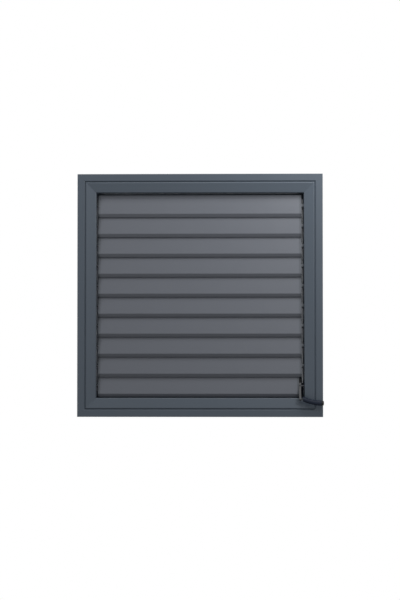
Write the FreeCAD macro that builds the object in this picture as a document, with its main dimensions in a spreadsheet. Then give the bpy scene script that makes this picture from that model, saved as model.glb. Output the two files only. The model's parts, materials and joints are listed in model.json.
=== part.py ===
import FreeCAD, Part
import math
import os
import re
import Sketcher

# Adjustable louvre grille for a wall opening, standing as it hangs on the wall.
# X is to the right, Y goes into the wall and Z is up. The origin is the middle of the wall plane,
# which the back of the flange touches. The blades are drawn closed.

# Driving dimensions in millimetres and degrees: name, value, what it measures.
SIZES = [
    ("grille_width", 500, "outside width of the frame"),
    ("grille_height", 495, "outside height of the frame"),
    ("face_width", 38.5, "outer edge of the frame to the opening"),
    ("flange_thick", 2.5, "flange in front of the wall plane"),
    ("box_inset", 14, "outer edge of the flange to the hollow box behind it"),
    ("collar_depth", 47, "collar behind the wall plane"),
    ("collar_return", 12, "flange at the back of the collar, into the opening"),
    ("frame_wall", 1.6, "walls of the frame section"),
    ("groove_place", 15.6, "outer edge to the middle of the V-groove"),
    ("groove_half", 1.8, "half the width of the V-groove"),
    ("groove_depth", 1.6, "depth of the V-groove"),
    ("band_drop", 5, "fall of the sloping band towards the opening"),
    ("lip_radius", 2.5, "rounded lip at the opening"),
    ("edge_radius", 0.6, "rounded outer edge of the flange"),
    ("mitre_gap", 0.1, "each mitred end held back from its corner line"),
    ("fixing_spacing", 240, "between the two fixing holes of a jamb"),
    ("fixing_diameter", 5.5, "fixing hole through the collar"),
    ("fixing_place", 38, "fixing hole behind the wall plane"),
    ("key_leg", 60, "leg of a corner key"),
    ("key_slack", 0.2, "corner key to the walls round it"),
    ("key_chamfer", 2.5, "lead-in at the ends of a key"),
    ("strip_width", 16, "bearing strip from front to back"),
    ("strip_neck", 12, "part of the strip that shows between the channel lips"),
    ("strip_thick", 4, "bearing strip"),
    ("strip_base", 2, "part of the strip behind the channel lips"),
    ("strip_slack", 0.2, "bearing strip to its channel"),
    ("blade_count", 10, "blades"),
    ("top_gap", 3.8, "top of the opening to the first blade"),
    ("bottom_gap", 3, "lowest nose to the bottom of the opening"),
    ("pivot_depth", 14, "pivots behind the wall plane"),
    ("blade_tilt", 12, "closed blade leans forward at its lower edge"),
    ("face_ahead", 5, "blade face in front of its pivot"),
    ("face_below", 12, "flat face below the pivot"),
    ("blade_overlap", 1.7, "top of a blade behind the nose above it"),
    ("blade_wall", 1.5, "blade sheet"),
    ("nose_radius", 8.5, "outside of the rolled nose"),
    ("nose_turn", 75, "turn of the rolled nose"),
    ("hem_thick", 2.6, "thickened top edge"),
    ("hem_height", 3, "height of the thickened top edge"),
    ("line_place", 6.5, "top edge of a blade to the fine line across its face"),
    ("line_half", 0.6, "half the width of that line"),
    ("line_depth", 0.35, "depth of that line"),
    ("tube_half", 4.8, "half the outside of the square tube behind the face"),
    ("bore_half", 3.3, "half the inside of that tube"),
    ("left_gap", 3.5, "left jamb to the blade ends"),
    ("right_gap", 4.5, "right jamb to the blade ends"),
    ("lever_gap", 10, "right jamb to the end of the lever blade"),
    ("cap_thick", 4, "end cap"),
    ("plug_length", 12, "plug of an end cap inside the blade"),
    ("plug_slack", 0.1, "plug to the tube round it"),
    ("rod_radius", 2, "steel rod that each blade turns on"),
    ("rod_end_gap", 0.3, "end of a rod to the channel behind it"),
    ("pin_slack", 0.05, "radial room round a rod or pin"),
    ("crank_radius", 16, "pivot to crank pin"),
    ("crank_angle", 40, "crank above the level when closed"),
    ("crank_pin_radius", 2, "crank pin"),
    ("crank_pin_rib", 0.7, "half the thickness of the crossed ribs of a moulded crank pin"),
    ("crank_wall", 2, "crank round its pin"),
    ("crank_pin_gap", 0.5, "end of a crank pin to the bearing strip"),
    ("link_gap", 0.8, "link bar to the end caps"),
    ("link_thick", 2, "link bar"),
    ("link_width", 10, "link bar from front to back"),
    ("link_end", 6, "link bar past its last pin"),
    ("link_corner", 2, "corners cut off the link bar"),
    ("slot_play", 1, "room before and behind a crank pin in its slot"),
    ("square_half", 4, "half the square on the lever blade's end cap"),
    ("square_slack", 0.1, "lever arm to that square"),
    ("arm_thick", 4, "lever arm"),
    ("arm_reach", 26, "pivot forward to the handle"),
    ("arm_fall", 26.6, "pivot down to the handle"),
    ("hub_radius", 8, "hub of the lever arm"),
    ("arm_root", 5.5, "half width of the arm at the hub"),
    ("arm_end", 3.4, "half width of the arm at the handle"),
    ("tang_half", 1.7, "half the square tang that holds the handle"),
    ("tang_length", 7.5, "tang"),
    ("nut_half", 6, "half the push nut that holds the lever arm"),
    ("nut_thick", 0.8, "push nut"),
    ("grip_gap", 3.5, "lever arm to the handle"),
    ("grip_length", 37.8, "handle to the right"),
    ("grip_drop", 8.4, "fall of the handle along its curve"),
    ("grip_lift", 0.6, "start of the handle above its tang"),
    ("grip_root", 4.4, "handle radius at the arm"),
    ("grip_end", 4.9, "handle radius at the tip"),
    ("tip_length", 4.5, "black tip of the handle"),
    ("tip_chamfer", 2, "edge cut off the end of the tip"),
]

# Places worked out from the driving dimensions: name, formula.
PLACES = [
    ("opening_width", "grille_width - 2 * face_width"),
    ("opening_height", "grille_height - 2 * face_width"),
    ("jamb_face", "opening_width / 2"),
    ("band_start", "groove_place + groove_half"),
    ("band_angle", "atan(band_drop / (face_width - band_start))"),
    ("channel_depth", "strip_thick + strip_slack"),
    ("channel_lip", "strip_thick - strip_base - strip_slack"),
    ("channel_front", "pivot_depth - strip_width / 2 - strip_slack"),
    ("channel_back", "pivot_depth + strip_width / 2 + strip_slack"),
    ("neck_front", "pivot_depth - strip_neck / 2 - strip_slack"),
    ("neck_back", "pivot_depth + strip_neck / 2 + strip_slack"),
    ("chamber_low", "box_inset + frame_wall"),
    ("chamber_high", "face_width - channel_depth - frame_wall"),
    ("chamber_front", "groove_depth + frame_wall - flange_thick"),
    ("slope_inside", "frame_wall / cos(band_angle) - flange_thick"),
    ("slope_start", "band_start + (chamber_front - slope_inside) / tan(band_angle)"),
    ("slope_end", "slope_inside + (chamber_high - band_start) * tan(band_angle)"),
    ("blade_field", "opening_height - top_gap - bottom_gap"),
    ("blade_pitch", "(blade_field - blade_overlap - blade_wall) / blade_count"),
    ("nose_start", "0 - face_ahead - face_below * tan(blade_tilt)"),
    ("nose_depth", "nose_start + nose_radius * cos(blade_tilt)"),
    ("nose_height", "0 - face_below - nose_radius * sin(blade_tilt)"),
    ("nose_first", "180 - blade_tilt"),
    ("nose_last", "nose_first + nose_turn"),
    ("nose_bottom", "nose_height + nose_radius * sin(nose_last)"),
    ("face_top", "blade_pitch + nose_bottom + blade_overlap + blade_wall"),
    ("face_top_depth", "face_top * tan(blade_tilt) - face_ahead"),
    ("first_pivot", "opening_height / 2 - top_gap - face_top"),
    ("last_pivot", "first_pivot - (blade_count - 1) * blade_pitch"),
    ("cap_left", "0 - jamb_face + left_gap"),
    ("cap_right", "jamb_face - right_gap"),
    ("cap_lever", "jamb_face - lever_gap"),
    ("crank_depth", "crank_radius * cos(crank_angle)"),
    ("crank_height", "crank_radius * sin(crank_angle)"),
    ("crank_round", "crank_pin_radius + crank_wall"),
    ("rib_reach", "sqrt(crank_pin_radius ^ 2 - crank_pin_rib ^ 2)"),
    ("link_left", "cap_right + link_gap"),
    ("arm_right", "cap_lever + arm_thick"),
    ("arm_angle", "atan(arm_fall / arm_reach)"),
    ("grip_left", "arm_right + grip_gap"),
    ("grip_top", "grip_lift - arm_fall"),
]

# Share of the way along the handle at which its section is drawn, and the sides of that section.
GRIP_SHARES = (0, 0.2, 0.4, 0.6, 0.8, 1)
GRIP_SIDES = 12

doc = FreeCAD.newDocument("louvre_grille")
parts = []
sheet_of = {}


def formula(text):
    """Put the sheet's name before each size that a formula uses."""
    return re.sub(r"[a-z][a-z_]*", lambda word: sheet_of.get(word.group(), word.group()), text)


def fill_sheet(sheet, rows):
    """Give a spreadsheet a name, a value and a note on each row."""
    for number, (name, value, note) in enumerate(rows, start=1):
        sheet.set(f"A{number}", name)
        sheet.set(f"B{number}", value)
        sheet.set(f"C{number}", note)
        sheet.setAlias(f"B{number}", name)


sizes = doc.addObject("Spreadsheet::Sheet", "Sizes")
places = doc.addObject("Spreadsheet::Sheet", "Places")
sheet_of.update({name: f"Sizes.{name}" for name, value, note in SIZES})
sheet_of.update({name: f"Places.{name}" for name, text in PLACES})
fill_sheet(sizes, [(name, str(value), note) for name, value, note in SIZES])
fill_sheet(places, [(name, "=" + formula(text), text) for name, text in PLACES])
doc.recompute()


def worth(text):
    """The number that a formula gives."""
    return float(sizes.evalExpression(formula(text)))


def bind(thing, name, text):
    """Tie a property to a formula."""
    thing.setExpression(name, formula(text))


def place(part, label, x="0", y="0", z="0", turn=0):
    """Name a sub-part and put it in its place, turned about Y by whole degrees."""
    part.Label = label
    part.Placement.Rotation = FreeCAD.Rotation(FreeCAD.Vector(0, 1, 0), turn)
    bind(part, "Placement.Base.x", x)
    bind(part, "Placement.Base.y", y)
    bind(part, "Placement.Base.z", z)
    parts.append(part)


def new_body(name):
    return doc.addObject("PartDesign::Body", name)


def new_sketch(body, name, plane, offset="0"):
    """A sketch on one of the body's origin planes, moved along that plane's normal."""
    sketch = body.newObject("Sketcher::SketchObject", name)
    support = [item for item in body.Origin.OriginFeatures if item.Role == plane][0]
    sketch.AttachmentSupport = (support, "")
    sketch.MapMode = "FlatFace"
    bind(sketch, "AttachmentOffset.Base.z", offset)
    return sketch


def add_rules(sketch, rules):
    """Add constraints to a sketch and tie those that have a formula."""
    numbers = sketch.addConstraint([rule for rule, text in rules])
    for number, (rule, text) in zip(numbers, rules):
        if text is not None:
            bind(sketch, f"Constraints[{number}]", text)


def arc_between(start, end, radius, is_clockwise):
    """The smaller arc from one point to another, which always runs anticlockwise in itself."""
    chord = end - start
    height = math.sqrt(max(radius ** 2 - (chord.Length / 2) ** 2, 0))
    sideways = FreeCAD.Vector(-chord.y, chord.x, 0).normalize()
    centre = (start + end) / 2 + sideways * (-height if is_clockwise else height)
    order = (end, start) if is_clockwise else (start, end)
    angles = [math.atan2(point.y - centre.y, point.x - centre.x) for point in order]
    return Part.ArcOfCircle(Part.Circle(centre, FreeCAD.Vector(0, 0, 1), radius), *angles)


def draw_outline(sketch, corners, arcs=None):
    """Draw a closed outline through corners that are pairs of formulas.

    arcs maps a side's number to its radius, with "-" before a radius that bends clockwise.
    """
    arcs = arcs or {}
    points = [FreeCAD.Vector(worth(across), worth(up), 0) for across, up in corners]
    first = sketch.GeometryCount
    starts = []
    ends = []
    rules = []
    for side, start in enumerate(points):
        end = points[(side + 1) % len(points)]
        number = first + side
        text = arcs.get(side, "")
        is_clockwise = text.startswith("-")
        if text:
            radius = text.lstrip("-")
            sketch.addGeometry(arc_between(start, end, worth(radius), is_clockwise), False)
            rules.append((Sketcher.Constraint("Radius", number, worth(radius)), radius))
        else:
            sketch.addGeometry(Part.LineSegment(start, end), False)
        starts.append((number, 2 if is_clockwise else 1))
        ends.append((number, 1 if is_clockwise else 2))
    for side, (across, up) in enumerate(corners):
        start = starts[side]
        rules.append((Sketcher.Constraint("Coincident", *ends[side - 1], *start), None))
        rules.append((Sketcher.Constraint("DistanceX", -1, 1, *start, points[side].x), across))
        rules.append((Sketcher.Constraint("DistanceY", -1, 1, *start, points[side].y), up))
    add_rules(sketch, rules)


def draw_circle(sketch, across, up, radius):
    """Draw a circle from the formulas of its centre and radius."""
    centre = FreeCAD.Vector(worth(across), worth(up), 0)
    circle = Part.Circle(centre, FreeCAD.Vector(0, 0, 1), worth(radius))
    number = sketch.addGeometry(circle, False)
    add_rules(sketch, [
        (Sketcher.Constraint("DistanceX", -1, 1, number, 3, centre.x), across),
        (Sketcher.Constraint("DistanceY", -1, 1, number, 3, centre.y), up),
        (Sketcher.Constraint("Radius", number, worth(radius)), radius),
    ])


def pad(body, sketch, length, back=False, both=False):
    """Give a sketch thickness along its normal, against it, or both ways."""
    feature = body.newObject("PartDesign::Pad", sketch.Name + "_pad")
    feature.Profile = sketch
    feature.Reversed = back
    feature.SideType = "Symmetric" if both else "One side"
    bind(feature, "Length", length)
    return feature


def pocket(body, sketch, length=None, back=False):
    """Cut a sketch into the body to a length, or right through both ways without one."""
    feature = body.newObject("PartDesign::Pocket", sketch.Name + "_pocket")
    feature.Profile = sketch
    feature.Reversed = back
    if length is None:
        feature.Type = "ThroughAll"
        feature.SideType = "Symmetric"
    else:
        bind(feature, "Length", length)


def dress(body, kind, base, is_wanted, size):
    """Fillet or chamfer the edges of the last feature whose ends pass a test."""
    doc.recompute()
    names = []
    for number, edge in enumerate(base.Shape.Edges, start=1):
        if all(is_wanted(vertex.Point) for vertex in edge.Vertexes):
            names.append(f"Edge{number}")
    feature = body.newObject(f"PartDesign::{kind}", f"{base.Name}_{kind.lower()}")
    feature.Base = (base, names)
    bind(feature, "Radius" if kind == "Fillet" else "Size", size)
    return feature


def lies_along(depth, up):
    """A test for the edge along X at a depth and a height."""
    return lambda point: math.hypot(point.y - worth(depth), point.z - worth(up)) < 1e-3


def square(half, tilt="0"):
    """Corners of a square round the pivot, leaning back by an angle."""
    signs = ((-1, -1), (1, -1), (1, 1), (-1, 1))
    return [
        (f"({half}) * ({ahead} * cos({tilt}) + {up} * sin({tilt}))",
         f"({half}) * ({up} * cos({tilt}) - {ahead} * sin({tilt}))")
        for ahead, up in signs
    ]


# Frame members
# Each lies along X with its outer edge at Z = 0 and the opening at Z = face_width.

RIM = ("-flange_thick", "0")
LIP = ("band_drop - flange_thick", "face_width")
FRAME_OUTLINE = [
    ("0", "0"),
    RIM,
    ("-flange_thick", "groove_place - groove_half"),
    ("groove_depth - flange_thick", "groove_place"),
    ("-flange_thick", "band_start"),
    LIP,
    ("neck_front", "face_width"),
    ("neck_front", "face_width - channel_lip"),
    ("channel_front", "face_width - channel_lip"),
    ("channel_front", "face_width - channel_depth"),
    ("channel_back", "face_width - channel_depth"),
    ("channel_back", "face_width - channel_lip"),
    ("neck_back", "face_width - channel_lip"),
    ("neck_back", "face_width"),
    ("collar_depth - frame_wall", "face_width"),
    ("collar_depth - frame_wall", "face_width + collar_return"),
    ("collar_depth", "face_width + collar_return"),
    ("collar_depth", "face_width - frame_wall"),
    ("channel_back + frame_wall", "face_width - frame_wall"),
    ("channel_back + frame_wall", "box_inset"),
    ("0", "box_inset"),
]
FRAME_CHAMBER = [
    ("chamber_front", "chamber_low"),
    ("chamber_front", "slope_start"),
    ("slope_end", "chamber_high"),
    ("channel_back", "chamber_high"),
    ("channel_back", "chamber_low"),
]


def make_frame_member(label, length, x="0", z="0", turn=0, is_jamb=False):
    body = new_body(label)
    section = new_sketch(body, "section", "YZ_Plane")
    draw_outline(section, FRAME_OUTLINE)
    draw_outline(section, FRAME_CHAMBER)
    extrusion = pad(body, section, length, both=True)
    lipped = dress(body, "Fillet", extrusion, lies_along(*LIP), "lip_radius")
    dress(body, "Fillet", lipped, lies_along(*RIM), "edge_radius")
    mitres = new_sketch(body, "mitres", "XZ_Plane")
    for side in ("", "-"):
        draw_outline(mitres, [
            (f"{side}({length} / 2 - mitre_gap + face_width)", "-face_width"),
            (f"{side}({length} / 2 - mitre_gap - 2 * face_width)", "2 * face_width"),
            (f"{side}({length} / 2 + face_width)", "2 * face_width"),
        ])
    pocket(body, mitres)
    if is_jamb:
        fixings = new_sketch(body, "fixings", "XY_Plane")
        for side in ("", "-"):
            draw_circle(fixings, f"{side}fixing_spacing / 2", "fixing_place", "fixing_diameter / 2")
        pocket(body, fixings)
    place(body, label, x=x, z=z, turn=turn)


make_frame_member("frame_bottom", "grille_width", z="-grille_height / 2")
make_frame_member("frame_top", "grille_width", z="grille_height / 2", turn=180)
make_frame_member("frame_left", "grille_height", x="-grille_width / 2", turn=90, is_jamb=True)
make_frame_member("frame_right", "grille_height", x="grille_width / 2", turn=-90, is_jamb=True)


# Corner keys
# Each is drawn for the lower left corner of the frame, with that corner at X = 0 and Z = 0,
# and fills the hollow box of the two members that meet there.

def make_corner_key(label, x, z, turn):
    inner = "(chamber_low + key_slack)"
    outer = "(chamber_high - key_slack)"
    end = "(chamber_low + key_slack + key_leg)"
    body = new_body(label)
    elbow = new_sketch(body, "elbow", "XZ_Plane", "key_slack - channel_back")
    draw_outline(elbow, [
        (inner, inner),
        (f"{end} - key_chamfer", inner),
        (end, f"{inner} + key_chamfer"),
        (end, f"{outer} - key_chamfer"),
        (f"{end} - key_chamfer", outer),
        (outer, outer),
        (outer, f"{end} - key_chamfer"),
        (f"{outer} - key_chamfer", end),
        (f"{inner} + key_chamfer", end),
        (inner, f"{end} - key_chamfer"),
    ])
    pad(body, elbow, "channel_back - slope_end - 2 * key_slack")
    place(body, label, x=x, z=z, turn=turn)


make_corner_key("corner_key_bottom_left", "-grille_width / 2", "-grille_height / 2", 0)
make_corner_key("corner_key_top_left", "-grille_width / 2", "grille_height / 2", 90)
make_corner_key("corner_key_top_right", "grille_width / 2", "grille_height / 2", 180)
make_corner_key("corner_key_bottom_right", "grille_width / 2", "-grille_height / 2", -90)


# Bearing strips
# Each slides into the channel of a jamb, with its face at X = 0 flush with the jamb.

def make_bearing_strip(label, x, outward):
    """outward is "-" on the left, where the strip lies at lower X than its face."""
    body = new_body(label)
    half_length = "(opening_height / 2 - strip_slack)"
    tee = new_sketch(body, "tee", "XY_Plane")
    neck = "(strip_thick - strip_base)"
    draw_outline(tee, [
        ("0", "pivot_depth - strip_neck / 2"),
        ("0", "pivot_depth + strip_neck / 2"),
        (f"{outward}{neck}", "pivot_depth + strip_neck / 2"),
        (f"{outward}{neck}", "pivot_depth + strip_width / 2"),
        (f"{outward}strip_thick", "pivot_depth + strip_width / 2"),
        (f"{outward}strip_thick", "pivot_depth - strip_width / 2"),
        (f"{outward}{neck}", "pivot_depth - strip_width / 2"),
        (f"{outward}{neck}", "pivot_depth - strip_neck / 2"),
    ])
    pad(body, tee, f"2 * {half_length}", both=True)
    holes = new_sketch(body, "holes", "YZ_Plane")
    for number in range(round(worth("blade_count"))):
        height = f"first_pivot - {number} * blade_pitch"
        draw_circle(holes, "pivot_depth", height, "rod_radius + pin_slack")
    pocket(body, holes)
    place(body, label, x=x)


make_bearing_strip("bearing_strip_left", "-jamb_face", "-")
make_bearing_strip("bearing_strip_right", "jamb_face", "")


# Blades
# The pivot is at Y = 0 and Z = 0.

def nose_point(share, radius="nose_radius"):
    """A point on the rolled nose, at a share of its turn."""
    angle = f"(nose_first + {share} * nose_turn)"
    return (f"nose_depth + ({radius}) * cos{angle}", f"nose_height + ({radius}) * sin{angle}")


def top_point(behind, below):
    """A point near the top edge, behind the face and down along it."""
    return (
        f"face_top_depth + {behind} * cos(blade_tilt) - {below} * sin(blade_tilt)",
        f"face_top - {behind} * sin(blade_tilt) - {below} * cos(blade_tilt)",
    )


def make_blade(label, height, right_end):
    body = new_body(label)
    left = "cap_left + cap_thick"
    length = f"{right_end} - cap_thick - ({left})"
    sheet = new_sketch(body, "sheet", "YZ_Plane", left)
    draw_outline(sheet, [
        nose_point(0),
        nose_point(1),
        nose_point(1, "nose_radius - blade_wall"),
        nose_point(0, "nose_radius - blade_wall"),
        top_point("blade_wall", "hem_height"),
        top_point("hem_thick", "hem_height"),
        top_point("hem_thick", "0"),
        top_point("0", "0"),
        top_point("0", "(line_place - line_half)"),
        top_point("line_depth", "line_place"),
        top_point("0", "(line_place + line_half)"),
    ], {0: "nose_radius", 2: "-nose_radius - blade_wall"})
    pad(body, sheet, length)
    tube = new_sketch(body, "tube", "YZ_Plane", left)
    draw_outline(tube, square("tube_half", "blade_tilt"))
    pad(body, tube, length)
    bore = new_sketch(body, "bore", "YZ_Plane", left)
    draw_outline(bore, square("bore_half", "blade_tilt"))
    pocket(body, bore)
    place(body, label, y="pivot_depth", z=height)


# End caps
# Each closes one end of a blade, with its outer face at X = 0, and its square plug sits in the tube.
# Right caps have a crank for the link bar. The lever blade's has a square for the lever arm instead.

NOSE_CHORDS = 4
tube_corners = square("tube_half", "blade_tilt")
CAP_OUTLINE = [
    top_point("0", "0"),
    *[nose_point(number / NOSE_CHORDS) for number in range(NOSE_CHORDS + 1)],
    tube_corners[1],
    tube_corners[2],
    top_point("hem_thick", "0"),
]


def crank_point(ahead, sideways):
    """A point beside the crank pin, along the crank and across it."""
    return (
        f"crank_depth + crank_round * ({ahead} * cos(crank_angle) - {sideways} * sin(crank_angle))",
        f"crank_height + crank_round * ({ahead} * sin(crank_angle) + {sideways} * cos(crank_angle))",
    )


# The crank's end is a half octagon that encloses the wall round its pin.
OCTAGON = "tan(22.5)"
CRANK_OUTLINE = [
    ("crank_round * sin(crank_angle)", "-crank_round * cos(crank_angle)"),
    crank_point(OCTAGON, "-1"),
    crank_point("1", f"-{OCTAGON}"),
    crank_point("1", OCTAGON),
    crank_point(OCTAGON, "1"),
    ("-crank_round * sin(crank_angle)", "crank_round * cos(crank_angle)"),
]

# The moulded crank pin is a cross whose corners lie on a circle.
CROSS = [
    ("crank_pin_rib", "rib_reach"),
    ("-crank_pin_rib", "rib_reach"),
    ("-crank_pin_rib", "crank_pin_rib"),
    ("-rib_reach", "crank_pin_rib"),
    ("-rib_reach", "-crank_pin_rib"),
    ("-crank_pin_rib", "-crank_pin_rib"),
    ("-crank_pin_rib", "-rib_reach"),
    ("crank_pin_rib", "-rib_reach"),
    ("crank_pin_rib", "-crank_pin_rib"),
    ("rib_reach", "-crank_pin_rib"),
    ("rib_reach", "crank_pin_rib"),
    ("crank_pin_rib", "crank_pin_rib"),
]


def make_end_cap(label, height, x, is_left=False, has_crank=False, has_square=False):
    body = new_body(label)
    plate = new_sketch(body, "plate", "YZ_Plane")
    draw_outline(plate, CAP_OUTLINE)
    pad(body, plate, "cap_thick", back=not is_left)
    plug = new_sketch(body, "plug", "YZ_Plane")
    draw_outline(plug, square("bore_half - plug_slack", "blade_tilt"))
    pad(body, plug, "cap_thick + plug_length", back=not is_left)
    if has_crank:
        web = new_sketch(body, "web", "YZ_Plane")
        draw_outline(web, CRANK_OUTLINE)
        pad(body, web, "cap_thick", back=True)
        crank_pin = new_sketch(body, "crank_pin", "YZ_Plane")
        draw_outline(crank_pin, [
            (f"crank_depth + {across}", f"crank_height + {up}") for across, up in CROSS
        ])
        pad(body, crank_pin, "right_gap - crank_pin_gap")
    if has_square:
        key = new_sketch(body, "key", "YZ_Plane")
        draw_outline(key, square("square_half"))
        pad(body, key, "arm_thick")
    passage = new_sketch(body, "passage", "YZ_Plane")
    draw_outline(passage, square("rod_radius + pin_slack", "blade_tilt"))
    pocket(body, passage)
    place(body, label, x=x, y="pivot_depth", z=height)


def make_pivot_rod(label, height):
    body = new_body(label)
    circle = new_sketch(body, "circle", "YZ_Plane")
    draw_circle(circle, "0", "0", "rod_radius")
    pad(body, circle, "opening_width + 2 * (channel_depth - rod_end_gap)", both=True)
    place(body, label, y="pivot_depth", z=height)


def make_blades():
    count = round(worth("blade_count"))
    for number in range(1, count + 1):
        tag = f"{number:02d}"
        height = f"first_pivot - {number - 1} * blade_pitch"
        is_last = number == count
        right_end = "cap_lever" if is_last else "cap_right"
        make_blade(f"blade_{tag}", height, right_end)
        make_pivot_rod(f"pivot_rod_{tag}", height)
        make_end_cap(f"end_cap_left_{tag}", height, "cap_left", is_left=True)
        make_end_cap(
            f"end_cap_right_{tag}", height, right_end,
            has_crank=not is_last, has_square=is_last,
        )


make_blades()


# Link bar
# One bar joins the crank pins. Z = 0 is the lowest, which is the lever arm's.

def make_link_bar():
    body = new_body("link_bar")
    bar = new_sketch(body, "bar", "YZ_Plane")
    side = "link_width / 2"
    cut_side = f"({side} - link_corner)"
    low = "-link_end"
    high = "((blade_count - 1) * blade_pitch + link_end)"
    draw_outline(bar, [
        (f"-{cut_side}", low),
        (cut_side, low),
        (side, f"{low} + link_corner"),
        (side, f"{high} - link_corner"),
        (cut_side, high),
        (f"-{cut_side}", high),
        (f"-{side}", f"{high} - link_corner"),
        (f"-{side}", f"{low} + link_corner"),
    ])
    draw_circle(bar, "0", "0", "crank_pin_radius + pin_slack")
    slot_side = "(crank_pin_radius + slot_play)"
    slot_half = "(crank_pin_radius + pin_slack)"
    for number in range(1, round(worth("blade_count"))):
        height = f"{number} * blade_pitch"
        draw_outline(bar, [
            (f"-{slot_side}", f"{height} - {slot_half}"),
            (slot_side, f"{height} - {slot_half}"),
            (slot_side, f"{height} + {slot_half}"),
            (f"-{slot_side}", f"{height} + {slot_half}"),
        ])
    pad(body, bar, "link_thick")
    place(body, "link_bar", x="link_left", y="pivot_depth + crank_depth", z="last_pivot + crank_height")


make_link_bar()


# Lever
# The arm turns with the lowest blade. X = 0 is the arm's right face and the pivot is at Y = 0, Z = 0.

def arm_point(ahead, sideways):
    """A point beside the handle's end of the arm, along the arm and across it."""
    return (
        f"-arm_reach - arm_end * ({ahead} * cos(arm_angle) + {sideways} * sin(arm_angle))",
        f"-arm_fall - arm_end * ({ahead} * sin(arm_angle) - {sideways} * cos(arm_angle))",
    )


def make_lever_arm():
    body = new_body("lever_arm")
    hub = new_sketch(body, "hub", "YZ_Plane")
    draw_circle(hub, "0", "0", "hub_radius")
    pad(body, hub, "arm_thick", back=True)
    web = new_sketch(body, "web", "YZ_Plane")
    draw_outline(web, CRANK_OUTLINE)
    pad(body, web, "arm_thick", back=True)
    arm = new_sketch(body, "arm", "YZ_Plane")
    draw_outline(arm, [
        ("-arm_root * sin(arm_angle)", "arm_root * cos(arm_angle)"),
        arm_point("0", "1"),
        arm_point("1", "0"),
        arm_point("0", "-1"),
        ("arm_root * sin(arm_angle)", "-arm_root * cos(arm_angle)"),
    ], {1: "arm_end", 2: "arm_end"})
    pad(body, arm, "arm_thick", back=True)
    hole = new_sketch(body, "hole", "YZ_Plane")
    draw_outline(hole, square("square_half + square_slack"))
    pocket(body, hole)
    crank_pin = new_sketch(body, "crank_pin", "YZ_Plane")
    draw_circle(crank_pin, "crank_depth", "crank_height", "crank_pin_radius")
    pad(body, crank_pin, "jamb_face - crank_pin_gap - arm_right")
    tang = new_sketch(body, "tang", "YZ_Plane")
    draw_outline(tang, tang_square("tang_half"))
    pad(body, tang, "tang_length")
    place(body, "lever_arm", x="arm_right", y="pivot_depth", z="last_pivot")


def tang_square(half):
    """Corners of a square round the tang."""
    return [(f"{across} - arm_reach", f"{up} - arm_fall") for across, up in square(half)]


def make_push_nut():
    body = new_body("push_nut")
    plate = new_sketch(body, "plate", "YZ_Plane")
    draw_outline(plate, square("nut_half"))
    draw_circle(plate, "0", "0", "rod_radius + pin_slack")
    pad(body, plate, "nut_thick")
    place(body, "push_nut", x="arm_right", y="pivot_depth", z="last_pivot")


def draw_grip_section(sketch, radius):
    """A regular polygon round the handle's middle line."""
    turn = 360 / GRIP_SIDES
    draw_outline(sketch, [
        (f"({radius}) * cos({number * turn})", f"({radius}) * sin({number * turn})")
        for number in range(GRIP_SIDES)
    ])


def make_lever_grip():
    """A handle that falls along a parabola. X = 0 is its left end."""
    body = new_body("lever_grip")
    sections = []
    for share in GRIP_SHARES:
        left = round(1 - share, 3)
        section = new_sketch(body, "section", "YZ_Plane", f"{share} * grip_length")
        bind(section, "AttachmentOffset.Base.x", "-arm_reach")
        bind(section, "AttachmentOffset.Base.y", f"grip_top - grip_drop * (1 - {left} * {left})")
        lean = "0" if share == 0 else f"atan(2 * grip_drop / grip_length * {left})"
        section.AttachmentOffset.Rotation = FreeCAD.Rotation(FreeCAD.Vector(1, 0, 0), worth(lean))
        bind(section, "AttachmentOffset.Rotation.Angle", lean)
        draw_grip_section(section, f"grip_root + (grip_end - grip_root) * {share}")
        sections.append(section)
    handle = body.newObject("PartDesign::AdditiveLoft", "handle")
    handle.Profile = sections[0]
    handle.Sections = sections[1:]
    handle.Ruled = True
    socket = new_sketch(body, "socket", "YZ_Plane")
    draw_outline(socket, tang_square("tang_half + pin_slack"))
    pocket(body, socket, "tang_length - grip_gap + pin_slack", back=True)
    place(body, "lever_grip", x="grip_left", y="pivot_depth", z="last_pivot")


def make_grip_tip():
    """The blunt tip on the end of the handle. X = 0 is the handle's end."""
    body = new_body("grip_tip")
    section = new_sketch(body, "section", "YZ_Plane")
    draw_grip_section(section, "grip_end")
    length = worth("tip_length")
    blunt = pad(body, section, "tip_length")
    dress(body, "Chamfer", blunt, lambda point: abs(point.x - length) < 1e-3, "tip_chamfer")
    place(
        body, "grip_tip",
        x="grip_left + grip_length", y="pivot_depth - arm_reach", z="last_pivot + grip_top - grip_drop",
    )


make_lever_arm()
make_push_nut()
make_lever_grip()
make_grip_tip()
doc.recompute()


def check_document():
    """Stop if a feature failed, cut nothing, or left no valid solid."""
    for thing in doc.Objects:
        if "Invalid" in thing.State or "Error" in thing.State:
            raise RuntimeError(f"{thing.Name} failed: {thing.State}")
        if thing.TypeId == "PartDesign::Pocket":
            taken = thing.BaseFeature.Shape.Volume - thing.Shape.Volume
            if taken <= 0:
                raise RuntimeError(f"{thing.Name} cuts nothing")
    for part in parts:
        if part.Shape.isNull() or not part.Shape.isValid() or not part.Shape.Solids:
            raise RuntimeError(f"{part.Label} is not a valid solid")


check_document()
os.makedirs("parts", exist_ok=True)
for part in parts:
    part.Shape.exportStep(f"parts/{part.Label}.step")
    print(part.Label, len(part.Shape.Solids), round(part.Shape.Volume), part.Shape.BoundBox)
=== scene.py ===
import json
import math

import bmesh
import bpy
from mathutils import Matrix, Vector


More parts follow.
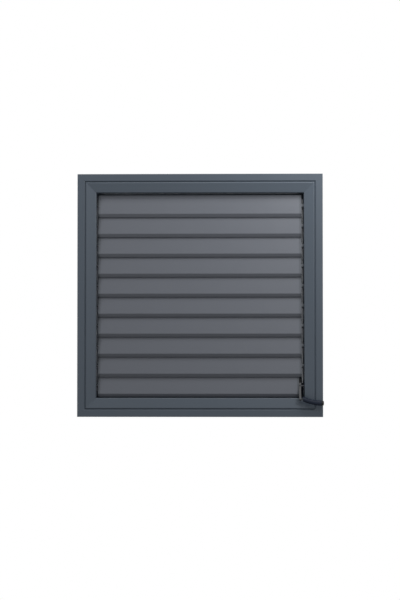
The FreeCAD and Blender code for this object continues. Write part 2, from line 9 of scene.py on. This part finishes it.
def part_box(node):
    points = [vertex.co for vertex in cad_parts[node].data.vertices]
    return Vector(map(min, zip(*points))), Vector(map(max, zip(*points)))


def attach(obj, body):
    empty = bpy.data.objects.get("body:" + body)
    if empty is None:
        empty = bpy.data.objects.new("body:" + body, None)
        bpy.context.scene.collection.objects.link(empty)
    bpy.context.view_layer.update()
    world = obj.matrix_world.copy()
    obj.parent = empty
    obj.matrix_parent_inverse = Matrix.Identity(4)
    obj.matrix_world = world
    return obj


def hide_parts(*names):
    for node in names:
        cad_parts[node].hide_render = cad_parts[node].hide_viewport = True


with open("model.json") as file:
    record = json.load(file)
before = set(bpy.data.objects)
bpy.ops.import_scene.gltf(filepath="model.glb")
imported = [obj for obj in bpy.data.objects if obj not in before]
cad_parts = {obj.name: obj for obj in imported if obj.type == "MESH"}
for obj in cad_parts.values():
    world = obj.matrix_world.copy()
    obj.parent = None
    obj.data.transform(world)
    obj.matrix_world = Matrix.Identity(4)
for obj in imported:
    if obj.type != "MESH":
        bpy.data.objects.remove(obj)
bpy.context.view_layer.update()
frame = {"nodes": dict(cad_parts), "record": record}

nodes = frame["nodes"]
scene = bpy.context.scene

# Directions: right as seen from the room, into the wall, and up
RIGHT = Vector((1, 0, 0))
INTO_WALL = Vector((0, 1, 0))
UP = Vector((0, 0, 1))

# Colours as they look on a screen, from 0 to 255
FRAME_COLOUR = (75, 85, 96)
# Lighter than the frame's colour: partly the blades' own paint, partly painted light for the extra light
# that their upward tilt catches
BLADE_COLOUR_WITH_PAINTED_LIGHT = (99, 103, 111)
# The arm's grey, darkened well below its own tone as painted shade
ARM_COLOUR_WITH_PAINTED_SHADE = (38, 40, 43)
CAP_COLOUR = (94, 98, 104)
STRIP_COLOUR = (38, 41, 46)
GRIP_COLOUR = (19, 28, 44)
TIP_COLOUR = (12, 12, 14)
STEEL_COLOUR = (62, 63, 66)
LINK_COLOUR = (128, 130, 134)
KEY_COLOUR = (176, 178, 180)
FLOOR_COLOUR = (244, 244, 244)


# Materials

# The middle part of a noise's range, which is spread over the roughnesses of a surface
NOISE_LOW = 0.3
NOISE_HIGH = 0.7
NOISE_DETAIL = 3
# Powder coat, with its fine orange peel and slow changes of gloss
COAT_ROUGHNESS = 0.42
COAT_SMOOTHEST = 0.38
COAT_ROUGHEST = 0.47
COAT_SPECULAR = 0.45
CLOUD_SCALE = 35
PEEL_SCALE = 1400
PEEL_STRENGTH = 0.12
PEEL_HEIGHT = 0.0002
# Moulded plastic, with its faint grain
GRAIN_SCALE = 2600
GRAIN_STRENGTH = 0.1
GRAIN_HEIGHT = 0.0001
# Bare metal, with fine lines along one axis, where its noise is stretched
LINE_SCALE = 900
LINE_SMOOTHER = 0.06
LINE_ROUGHER = 0.1
LINES_ALONG_X = (0.05, 1, 1)
LINES_ALONG_Y = (1, 0.05, 1)
LINES_ALONG_Z = (1, 1, 0.05)


def linear(colour):
    """Screen values from 0 to 255 as the linear values that a shader takes."""
    shares = [value / 255 for value in colour]
    return tuple(
        share / 12.92 if share <= 0.04045 else ((share + 0.055) / 1.055) ** 2.4
        for share in shares
    ) + (1,)


def shader_inputs(material):
    return material.node_tree.nodes["Principled BSDF"].inputs


def new_material(name, colour, roughness, metallic=0, specular=0.5):
    """A principled material that is the same all over."""
    material = bpy.data.materials.new(name)
    material.use_nodes = True
    inputs = shader_inputs(material)
    inputs["Base Color"].default_value = linear(colour)
    inputs["Roughness"].default_value = roughness
    inputs["Metallic"].default_value = metallic
    inputs["Specular IOR Level"].default_value = specular
    return material


def add_noise(material, scale, stretch=(1, 1, 1)):
    """Noise in the object's own coordinates, which stretch multiplies."""
    tree = material.node_tree
    place = tree.nodes.new("ShaderNodeTexCoord")
    mapping = tree.nodes.new("ShaderNodeMapping")
    mapping.inputs["Scale"].default_value = stretch
    noise = tree.nodes.new("ShaderNodeTexNoise")
    noise.inputs["Scale"].default_value = scale
    noise.inputs["Detail"].default_value = NOISE_DETAIL
    tree.links.new(place.outputs["Object"], mapping.inputs["Vector"])
    tree.links.new(mapping.outputs["Vector"], noise.inputs["Vector"])
    return noise.outputs["Fac"]


def add_bump(material, noise, strength, height):
    """Raise and lower the surface with a noise."""
    tree = material.node_tree
    bump = tree.nodes.new("ShaderNodeBump")
    bump.inputs["Strength"].default_value = strength
    bump.inputs["Distance"].default_value = height
    tree.links.new(noise, bump.inputs["Height"])
    tree.links.new(bump.outputs["Normal"], shader_inputs(material)["Normal"])


def vary_roughness(material, noise, smoothest, roughest):
    """Let a noise move the roughness between two values."""
    tree = material.node_tree
    spread = tree.nodes.new("ShaderNodeMapRange")
    spread.inputs["From Min"].default_value = NOISE_LOW
    spread.inputs["From Max"].default_value = NOISE_HIGH
    spread.inputs["To Min"].default_value = smoothest
    spread.inputs["To Max"].default_value = roughest
    tree.links.new(noise, spread.inputs["Value"])
    tree.links.new(spread.outputs["Result"], shader_inputs(material)["Roughness"])


def powder_coat(name, colour):
    material = new_material(name, colour, COAT_ROUGHNESS, specular=COAT_SPECULAR)
    add_bump(material, add_noise(material, PEEL_SCALE), PEEL_STRENGTH, PEEL_HEIGHT)
    clouds = add_noise(material, CLOUD_SCALE)
    vary_roughness(material, clouds, COAT_SMOOTHEST, COAT_ROUGHEST)
    return material


def moulded(name, colour, roughness, specular):
    material = new_material(name, colour, roughness, specular=specular)
    add_bump(material, add_noise(material, GRAIN_SCALE), GRAIN_STRENGTH, GRAIN_HEIGHT)
    return material


def bare_metal(name, colour, roughness, stretch):
    material = new_material(name, colour, roughness, metallic=1)
    lines = add_noise(material, LINE_SCALE, stretch)
    vary_roughness(material, lines, roughness - LINE_SMOOTHER, roughness + LINE_ROUGHER)
    return material


materials = {
    "frame_paint": powder_coat("frame_paint", FRAME_COLOUR),
    "blade_paint": powder_coat("blade_paint", BLADE_COLOUR_WITH_PAINTED_LIGHT),
    "lever_metal": powder_coat("lever_paint", ARM_COLOUR_WITH_PAINTED_SHADE),
    "cap_plastic": moulded("cap_plastic", CAP_COLOUR, roughness=0.5, specular=0.3),
    "strip_plastic": moulded("strip_plastic", STRIP_COLOUR, roughness=0.55, specular=0.3),
    "grip_plastic": moulded("grip_plastic", GRIP_COLOUR, roughness=0.5, specular=0.2),
    "tip_plastic": moulded("tip_plastic", TIP_COLOUR, roughness=0.45, specular=0.3),
    "rod_steel": bare_metal("rod_steel", STEEL_COLOUR, roughness=0.3, stretch=LINES_ALONG_X),
    "link_metal": bare_metal("link_metal", LINK_COLOUR, roughness=0.38, stretch=LINES_ALONG_Z),
    "key_metal": bare_metal("key_metal", KEY_COLOUR, roughness=0.45, stretch=LINES_ALONG_Y),
}


# Meshes and pieces

# Points this near to each other are merged.
MERGE_DISTANCE = 1e-6
# A point this near to a line or an arc of the solid lies on it.
ON_LINE = 1e-5
# Faces that turn less than this from each other are one flat face.
FLAT_ANGLE = math.radians(0.5)
# Edges that turn more than this are shaded as sharp.
SHARP_ANGLE = math.radians(40)
# Edges that turn more than this are rounded, in this many segments, by Blender's round profile.
ROUND_ANGLE = math.radians(32)
ROUND_SEGMENTS = 2
ROUND_PROFILE = 0.5


def copy_node(name):
    """A copy of a CAD node's mesh, with its triangles joined to whole faces."""
    mesh = bmesh.new()
    mesh.from_mesh(nodes[name].data)
    mesh.transform(nodes[name].matrix_world)
    bmesh.ops.remove_doubles(mesh, verts=mesh.verts, dist=MERGE_DISTANCE)
    bmesh.ops.dissolve_limit(mesh, angle_limit=FLAT_ANGLE, verts=mesh.verts, edges=mesh.edges)
    return mesh


def make_piece(mesh, name, node, slot, body):
    """A piece with this mesh, which stands for a CAD node and rides on its body."""
    bmesh.ops.recalc_face_normals(mesh, faces=mesh.faces)
    data = bpy.data.meshes.new(name)
    mesh.to_mesh(data)
    mesh.free()
    data.shade_smooth()
    data.set_sharp_from_angle(angle=SHARP_ANGLE)
    data.materials.append(materials[slot])
    piece = bpy.data.objects.new(name, data)
    scene.collection.objects.link(piece)
    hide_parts(node)
    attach(piece, body)
    return piece


def shade_by_area(piece):
    """Shade large faces as flat where smaller ones round their edges."""
    piece.modifiers.new("normals", "WEIGHTED_NORMAL").keep_sharp = True


def round_edges(piece, width):
    """Round the sharp edges. What is rounded needs no sharp shading, so the rest is smooth."""
    piece.data.shade_smooth()
    piece.modifiers.new("weld", "WELD").merge_threshold = MERGE_DISTANCE
    bevel = piece.modifiers.new("bevel", "BEVEL")
    bevel.width = width
    bevel.segments = ROUND_SEGMENTS
    bevel.profile = ROUND_PROFILE
    bevel.limit_method = "ANGLE"
    bevel.angle_limit = ROUND_ANGLE
    shade_by_area(piece)


# CAD nodes that stay
# Those with edges that show get them rounded, by the width given here.

ROUNDED_NODES = {
    "bearing_strip_left": 0.0002,
    "bearing_strip_right": 0.0002,
    "link_bar": 0.0002,
    "lever_arm": 0.0004,
}


def dress_nodes():
    """Give each CAD node the material of its slot."""
    for part in frame["record"]["subparts"]:
        node = nodes[part["node"]]
        node.data.materials.clear()
        node.data.materials.append(materials[part["material_slot"]])


def round_nodes():
    for name, width in ROUNDED_NODES.items():
        round_edges(nodes[name], width)


# Frame members
# A place is how far a point is from the outer border. Depths count from the wall plane.

# For each member, the direction from its border into the opening, and the one along it
MEMBERS = {
    "frame_left": (RIGHT, UP),
    "frame_right": (-RIGHT, UP),
    "frame_bottom": (UP, RIGHT),
    "frame_top": (-UP, RIGHT),
}
# The solid's flange, and the V-groove in it
FLANGE = 0.0025
GROOVE_PLACE = 0.0156
GROOVE_HALF = 0.0018
GROOVE_DEPTH = 0.0016
# The piece's groove is this much deeper, and its lowest line this much further in.
GROOVE_DEEPER = 0.0013
GROOVE_FURTHER = 0.0003
# Edges along the groove that are rounded: place, width and segments
GROOVE_EDGES = (
    (GROOVE_PLACE + GROOVE_HALF, 0.0018, 6),
    (GROOVE_PLACE - GROOVE_HALF, 0.0004, 3),
)
# How far each mitred end moves towards the member it meets, and how near to the mitre a point
# has to be to move with it
MITRE_CLOSING = 0.00009
MITRE_REACH = 0.0003


def make_frame_member(name):
    """The CAD member with a deeper groove, a rounded border to it and mitres shut to a hairline."""
    inward, along = MEMBERS[name]
    low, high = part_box(name)
    half_length = (high - low).dot(along) / 2
    border = min(low.dot(inward), high.dot(inward))
    mesh = copy_node(name)

    def place_of(vert):
        return vert.co.dot(inward) - border

    def is_on_line(vert, depth, place):
        return abs(vert.co.y - depth) < ON_LINE and abs(place_of(vert) - place) < ON_LINE

    for vert in mesh.verts:
        end = vert.co.dot(along)
        if abs(end) > half_length - place_of(vert) - MITRE_REACH:
            vert.co += along * math.copysign(MITRE_CLOSING, end)
    for vert in mesh.verts:
        if is_on_line(vert, GROOVE_DEPTH - FLANGE, GROOVE_PLACE):
            # Its ends move along the member as well, so that they stay on the mitres.
            shortening = math.copysign(GROOVE_FURTHER, vert.co.dot(along))
            vert.co += GROOVE_DEEPER * INTO_WALL + GROOVE_FURTHER * inward - shortening * along
    for place, width, segments in GROOVE_EDGES:
        edges = [
            edge for edge in mesh.edges if all(is_on_line(vert, -FLANGE, place) for vert in edge.verts)
        ]
        bmesh.ops.bevel(
            mesh, geom=edges, offset=width, offset_type="OFFSET", segments=segments,
            profile=ROUND_PROFILE, affect="EDGES", clamp_overlap=True,
        )
    shade_by_area(make_piece(mesh, name + "_piece", name, "frame_paint", "frame"))


# Blades and their end caps
# The solids have an arc along a blade's lower edge. On the real blade it is a fold with a flat
# facet, and the caps follow it. A point here is its depth and height from the pivot.

BLADE_TILT = math.radians(12)
SHEET = 0.0015
# The solids' face is this far before the pivot at its height, and ends this far below it.
FACE_AHEAD = 0.005
FACE_BELOW = 0.012
# The arc that starts there, on the outer side of the sheet
ARC_RADIUS = 0.0085
ARC_TURN = math.radians(75)
# How far past the face's end the sheet runs on, the fold's radius, and the facet after it
FOLD_AHEAD = 0.0032
FOLD_RADIUS = 0.0018
FACET_TURN = math.radians(30)
FACET_LENGTH = 0.0069
# Shares of the arc that become the straight above the fold and the fold itself
FOLD_FROM = 1 / 9
FOLD_TO = 5 / 9
# How much of the arc's turn a point may lie past its ends
SHARE_ROOM = 0.001
# Widths of the rounded edges
BLADE_EDGE = 0.00035
CAP_EDGE = 0.0003
# Boss round the rod of a right cap, which ends this far before the bearing strip
BOSS_RADIUS = 0.0046
BOSS_GAP = 0.0003
BOSS_SIDES = 32


def into_sheet(turn):
    """Direction from the outer side of the sheet to its inner side, where it has this turn."""
    return Vector((math.cos(turn), math.sin(turn)))


def down_sheet(turn):
    """Direction along the sheet to its lower edge, where it has this turn."""
    return Vector((math.sin(turn), -math.cos(turn)))


FACE_END = Vector((-FACE_AHEAD - FACE_BELOW * math.tan(BLADE_TILT), -FACE_BELOW))
ARC_CENTRE = FACE_END + ARC_RADIUS * into_sheet(-BLADE_TILT)
FOLD_START = FACE_END + FOLD_AHEAD * down_sheet(-BLADE_TILT)
FOLD_CENTRE = FOLD_START + FOLD_RADIUS * into_sheet(-BLADE_TILT)


def fold_point(share, inside):
    """Where a point at a share of the arc goes, this far inside the sheet."""
    turn = -BLADE_TILT
    if share < FOLD_FROM:
        point = FACE_END.lerp(FOLD_START, share / FOLD_FROM)
    else:
        turn += min((share - FOLD_FROM) / (FOLD_TO - FOLD_FROM), 1) * (FACET_TURN + BLADE_TILT)
        point = FOLD_CENTRE - FOLD_RADIUS * into_sheet(turn)
    if share > FOLD_TO:
        point += FACET_LENGTH * (share - FOLD_TO) / (1 - FOLD_TO) * down_sheet(turn)
    return point + inside * into_sheet(turn)


def fold_lower_edge(mesh, pivot):
    """Move the points of the arc, on both sides of the sheet, to the folded edge."""
    for vert in mesh.verts:
        spoke = Vector((vert.co.y - pivot.y, vert.co.z - pivot.z)) - ARC_CENTRE
        turned = math.atan2(spoke.y, spoke.x) % math.tau - (math.pi - BLADE_TILT)
        share = turned / ARC_TURN
        for inside in (0, SHEET):
            is_on_arc = abs(spoke.length - ARC_RADIUS + inside) < ON_LINE
            if is_on_arc and -SHARE_ROOM < share < 1 + SHARE_ROOM:
                folded = fold_point(min(max(share, 0), 1), inside)
                vert.co.y = pivot.y + folded.x
                vert.co.z = pivot.z + folded.y


def add_boss(mesh, pivot):
    """Add the boss from the end of the long blades to just before the bearing strip."""
    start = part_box("blade_01")[1].x
    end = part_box("bearing_strip_right")[0].x - BOSS_GAP
    middle = Vector(((start + end) / 2, pivot.y, pivot.z))
    bmesh.ops.create_cone(
        mesh, cap_ends=True, segments=BOSS_SIDES, radius1=BOSS_RADIUS, radius2=BOSS_RADIUS,
        depth=end - start, matrix=Matrix.Translation(middle) @ Matrix.Rotation(math.pi / 2, 4, "Y"),
    )


def make_blade_piece(name, slot, body, pivot, edge, has_boss=False):
    """The CAD node with the folded lower edge and, on a right cap, the boss round its rod."""
    mesh = copy_node(name)
    fold_lower_edge(mesh, pivot)
    if has_boss:
        add_boss(mesh, pivot)
    round_edges(make_piece(mesh, name + "_piece", name, slot, body), edge)


def make_louvres():
    """The blade and caps of each louvre. The one beside the lever arm has no boss."""
    for joint in frame["record"]["behaviour"]["joints"]:
        body = joint["child"]
        if not body.startswith("louvre_"):
            continue
        number = body.removeprefix("louvre_")
        pivot = Vector(joint["pos_m"])
        has_boss = joint["name"] != "lever_turn"
        make_blade_piece("blade_" + number, "blade_paint", body, pivot, BLADE_EDGE)
        make_blade_piece("end_cap_left_" + number, "cap_plastic", body, pivot, CAP_EDGE)
        make_blade_piece("end_cap_right_" + number, "cap_plastic", body, pivot, CAP_EDGE, has_boss)


# Handle
# It stands for the straight-sided handle and tip of the CAD model, on the same middle line, which
# falls to the tip and is level there.

# How far the middle line falls, and the radius at the root and at the end
GRIP_DROP = 0.0084
GRIP_ROOT = 0.0048
GRIP_END = 0.0053
# Segments along the handle and round it
GRIP_STEPS = 36
RING_SIDES = 40
# The tip's cut edge beside the handle, and its rounded end
TIP_EDGE = 0.0004
TIP_ROUNDING = 0.0026
TIP_STEPS = 8


def add_ring(mesh, centre, along, radius):
    """A ring of vertices round a point, square to a direction that runs beside the wall."""
    up = along.cross(INTO_WALL).normalized()
    ring = []
    for number in range(RING_SIDES):
        angle = math.tau * number / RING_SIDES
        spoke = math.cos(angle) * INTO_WALL + math.sin(angle) * up
        ring.append(mesh.verts.new(centre + radius * spoke))
    return ring


def join_rings(mesh, rings):
    """Close the rings to a tube with flat ends."""
    for first, second in zip(rings, rings[1:]):
        for number in range(RING_SIDES):
            after = (number + 1) % RING_SIDES
            mesh.faces.new((first[number], first[after], second[after], second[number]))
    mesh.faces.new(list(reversed(rings[0])))
    mesh.faces.new(rings[-1])


def grip_mesh(root, end):
    """A tube that thickens towards its end. At its root it is cut upright."""
    length = end.x - root
    mesh = bmesh.new()
    rings = []
    for number in range(GRIP_STEPS + 1):
        share = number / GRIP_STEPS
        left = 1 - share
        centre = Vector((root + share * length, end.y, end.z + GRIP_DROP * left ** 2))
        along = Vector((length, 0, -2 * GRIP_DROP * left)).normalized() if number else RIGHT
        rings.append(add_ring(mesh, centre, along, GRIP_ROOT + share * (GRIP_END - GRIP_ROOT)))
    join_rings(mesh, rings)
    return mesh


def tip_mesh(start, length):
    """A short tube with a cut edge at its start and a rounded one at its end."""
    outline = [(0, GRIP_END - TIP_EDGE), (TIP_EDGE, GRIP_END)]
    for number in range(TIP_STEPS + 1):
        turn = math.pi / 2 * number / TIP_STEPS
        outline.append((
            length - TIP_ROUNDING * (1 - math.sin(turn)),
            GRIP_END - TIP_ROUNDING * (1 - math.cos(turn)),
        ))
    mesh = bmesh.new()
    join_rings(mesh, [add_ring(mesh, start + ahead * RIGHT, RIGHT, radius) for ahead, radius in outline])
    return mesh


def make_handle():
    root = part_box("lever_grip")[0].x
    low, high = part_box("grip_tip")
    end = Vector((low.x, (low.y + high.y) / 2, (low.z + high.z) / 2))
    make_piece(grip_mesh(root, end), "handle", "lever_grip", "grip_plastic", "louvre_10")
    make_piece(tip_mesh(end, high.x - low.x), "handle_tip", "grip_tip", "tip_plastic", "louvre_10")


# Studio

# The photograph's size, and the middle and width of the grille in it, in pixels
PHOTO_WIDTH = 400
PHOTO_HEIGHT = 600
GRILLE_MIDDLE = (199.9, 295.2)
GRILLE_PIXELS = 245.7
# The camera's direction from the grille and its distance, and its sensor's width in millimetres
CAMERA_AZIMUTH = math.radians(1.5)
CAMERA_ELEVATION = math.radians(-1.7)
CAMERA_DISTANCE = 4
SENSOR = 36
# Lamps that point at the middle of the grille: name, place, side and power
LAMPS = (
    ("above", (0, -0.5, 1.1), 0.4, 3.5),
    ("left", (-0.9, -0.5, 0.7), 0.3, 2.4),
    ("right", (0.55, -0.65, 0.3), 0.25, 1.7),
    ("corner", (0.3, -0.25, 0.45), 0.2, 0.8),
)
WORLD_STRENGTH = 0.21
WHITE = (1, 1, 1, 1)
# A round floor, this far below the middle of the grille
FLOOR_DROP = 1.2
FLOOR_RADIUS = 1
FLOOR_SIDES = 64
FLOOR_ROUGHNESS = 0.9
FLOOR_SPECULAR = 0.1


def light_world():
    """Even light, and plain white where the camera, a reflection or glass sees past the object."""
    world = bpy.data.worlds.new("studio")
    scene.world = world
    world.use_nodes = True
    tree = world.node_tree
    light = tree.nodes["Background"]
    light.inputs["Color"].default_value = WHITE
    light.inputs["Strength"].default_value = WORLD_STRENGTH
    white = tree.nodes.new("ShaderNodeBackground")
    white.inputs["Color"].default_value = WHITE
    white.inputs["Strength"].default_value = 1
    path = tree.nodes.new("ShaderNodeLightPath")
    seen = path.outputs["Is Camera Ray"]
    for ray in ("Is Glossy Ray", "Is Transmission Ray"):
        either = tree.nodes.new("ShaderNodeMath")
        either.operation = "MAXIMUM"
        tree.links.new(seen, either.inputs[0])
        tree.links.new(path.outputs[ray], either.inputs[1])
        seen = either.outputs["Value"]
    mix = tree.nodes.new("ShaderNodeMixShader")
    tree.links.new(seen, mix.inputs["Fac"])
    tree.links.new(light.outputs["Background"], mix.inputs[1])
    tree.links.new(white.outputs["Background"], mix.inputs[2])
    tree.links.new(mix.outputs["Shader"], tree.nodes["World Output"].inputs["Surface"])


def make_floor():
    bpy.ops.mesh.primitive_circle_add(
        vertices=FLOOR_SIDES, radius=FLOOR_RADIUS, fill_type="NGON", location=(0, 0, -FLOOR_DROP),
    )
    floor = bpy.context.object
    floor.name = "floor"
    floor.data.materials.append(
        new_material("floor", FLOOR_COLOUR, FLOOR_ROUGHNESS, specular=FLOOR_SPECULAR)
    )


def add_looking(name, data, place, direction):
    """Add a lamp or the camera, looking in a direction."""
    added = bpy.data.objects.new(name, data)
    scene.collection.objects.link(added)
    added.location = place
    added.rotation_mode = "QUATERNION"
    added.rotation_quaternion = direction.to_track_quat("-Z", "Y")
    return added


def add_lamps():
    for name, place, side, power in LAMPS:
        data = bpy.data.lights.new(name, "AREA")
        data.size = side
        data.energy = power
        add_looking(name, data, place, -Vector(place))


def place_camera():
    """Aim the camera so that the grille has its place and width in the photograph."""
    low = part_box("frame_left")[0]
    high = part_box("frame_right")[1]
    pixel = (high.x - low.x) / GRILLE_PIXELS
    back = Vector((
        math.sin(CAMERA_AZIMUTH) * math.cos(CAMERA_ELEVATION),
        -math.cos(CAMERA_AZIMUTH) * math.cos(CAMERA_ELEVATION),
        math.sin(CAMERA_ELEVATION),
    ))
    turn = (-back).to_track_quat("-Z", "Y")
    across = (PHOTO_WIDTH / 2 - GRILLE_MIDDLE[0]) * pixel
    below = (PHOTO_HEIGHT / 2 - GRILLE_MIDDLE[1]) * pixel
    aim = Vector((0, low.y, 0)) + turn @ Vector((across, -below, 0))
    data = bpy.data.cameras.new("camera")
    data.sensor_width = SENSOR
    data.lens = SENSOR * CAMERA_DISTANCE / (PHOTO_HEIGHT * pixel)
    scene.camera = add_looking("camera", data, aim + back * CAMERA_DISTANCE, -back)


dress_nodes()
round_nodes()
for member in MEMBERS:
    make_frame_member(member)
make_louvres()
make_handle()
light_world()
make_floor()
add_lamps()
place_camera()
scene.view_settings.view_transform = "Standard"
